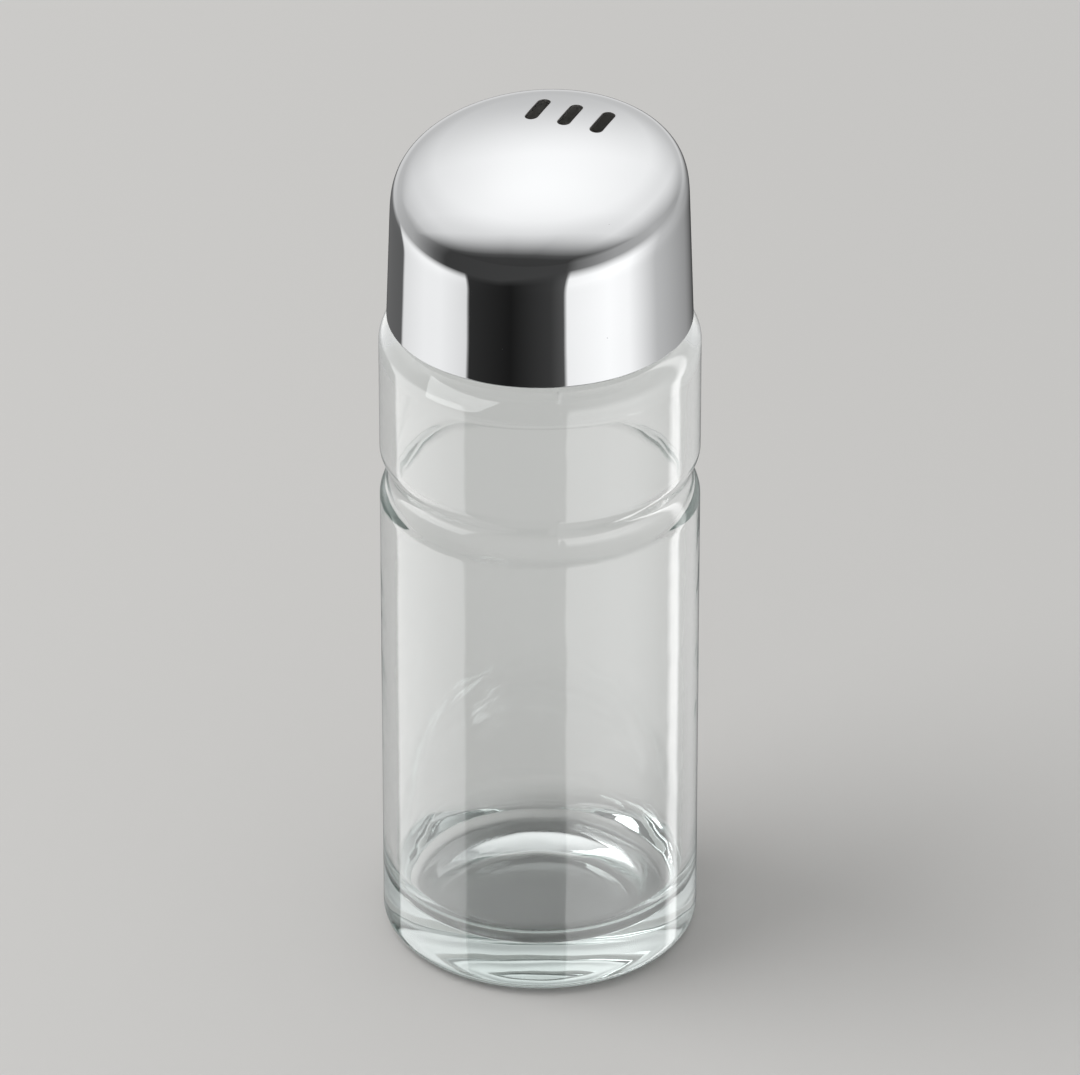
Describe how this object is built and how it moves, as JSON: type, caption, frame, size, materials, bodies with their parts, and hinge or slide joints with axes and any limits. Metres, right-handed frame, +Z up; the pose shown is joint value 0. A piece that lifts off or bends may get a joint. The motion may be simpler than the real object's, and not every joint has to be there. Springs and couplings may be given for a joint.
{
  "type": "parmesan shaker",
  "caption": "Clear glass table shaker with a waisted round body and a slanted, mirror-polished steel screw cap slotted for grated hard cheese.",
  "frame": {"origin": "on the table, at the middle of the jar's foot", "axes": "+Z up along the jar's and the cap's axis, -Y towards the front, where the cap is low, +X to the right"},
  "size_m": [0.059, 0.059, 0.1633],
  "materials": {
    "clear_glass": "clear pressed soda-lime glass",
    "polished_steel": "deep-drawn stainless steel, mirror polished",
    "moulded_plastic": "injection-moulded natural polypropylene",
    "soft_seal": "soft pale seal"
  },
  "bodies": {
    "jar": {"glass_jar": "clear_glass"},
    "washer": {"sealing_washer": "soft_seal"},
    "cap": {"cap_shell": "polished_steel", "thread_insert": "moulded_plastic"}
  },
  "joints": [
    {"name": "cap_lift", "type": "slide", "parent": "jar", "child": "washer", "axis": [0, 0, 1], "range_m": [0, 0.00525]},
    {"name": "cap_turn", "type": "hinge", "parent": "washer", "child": "cap", "pos_m": [0, 0, 0.129], "axis": [0, 0, 1], "range_deg": [0, 450]}
  ],
  "couplings": [
    {"joint": "cap_lift", "follows": "cap_turn", "m_per_rad": 0.00066845}
  ]
}
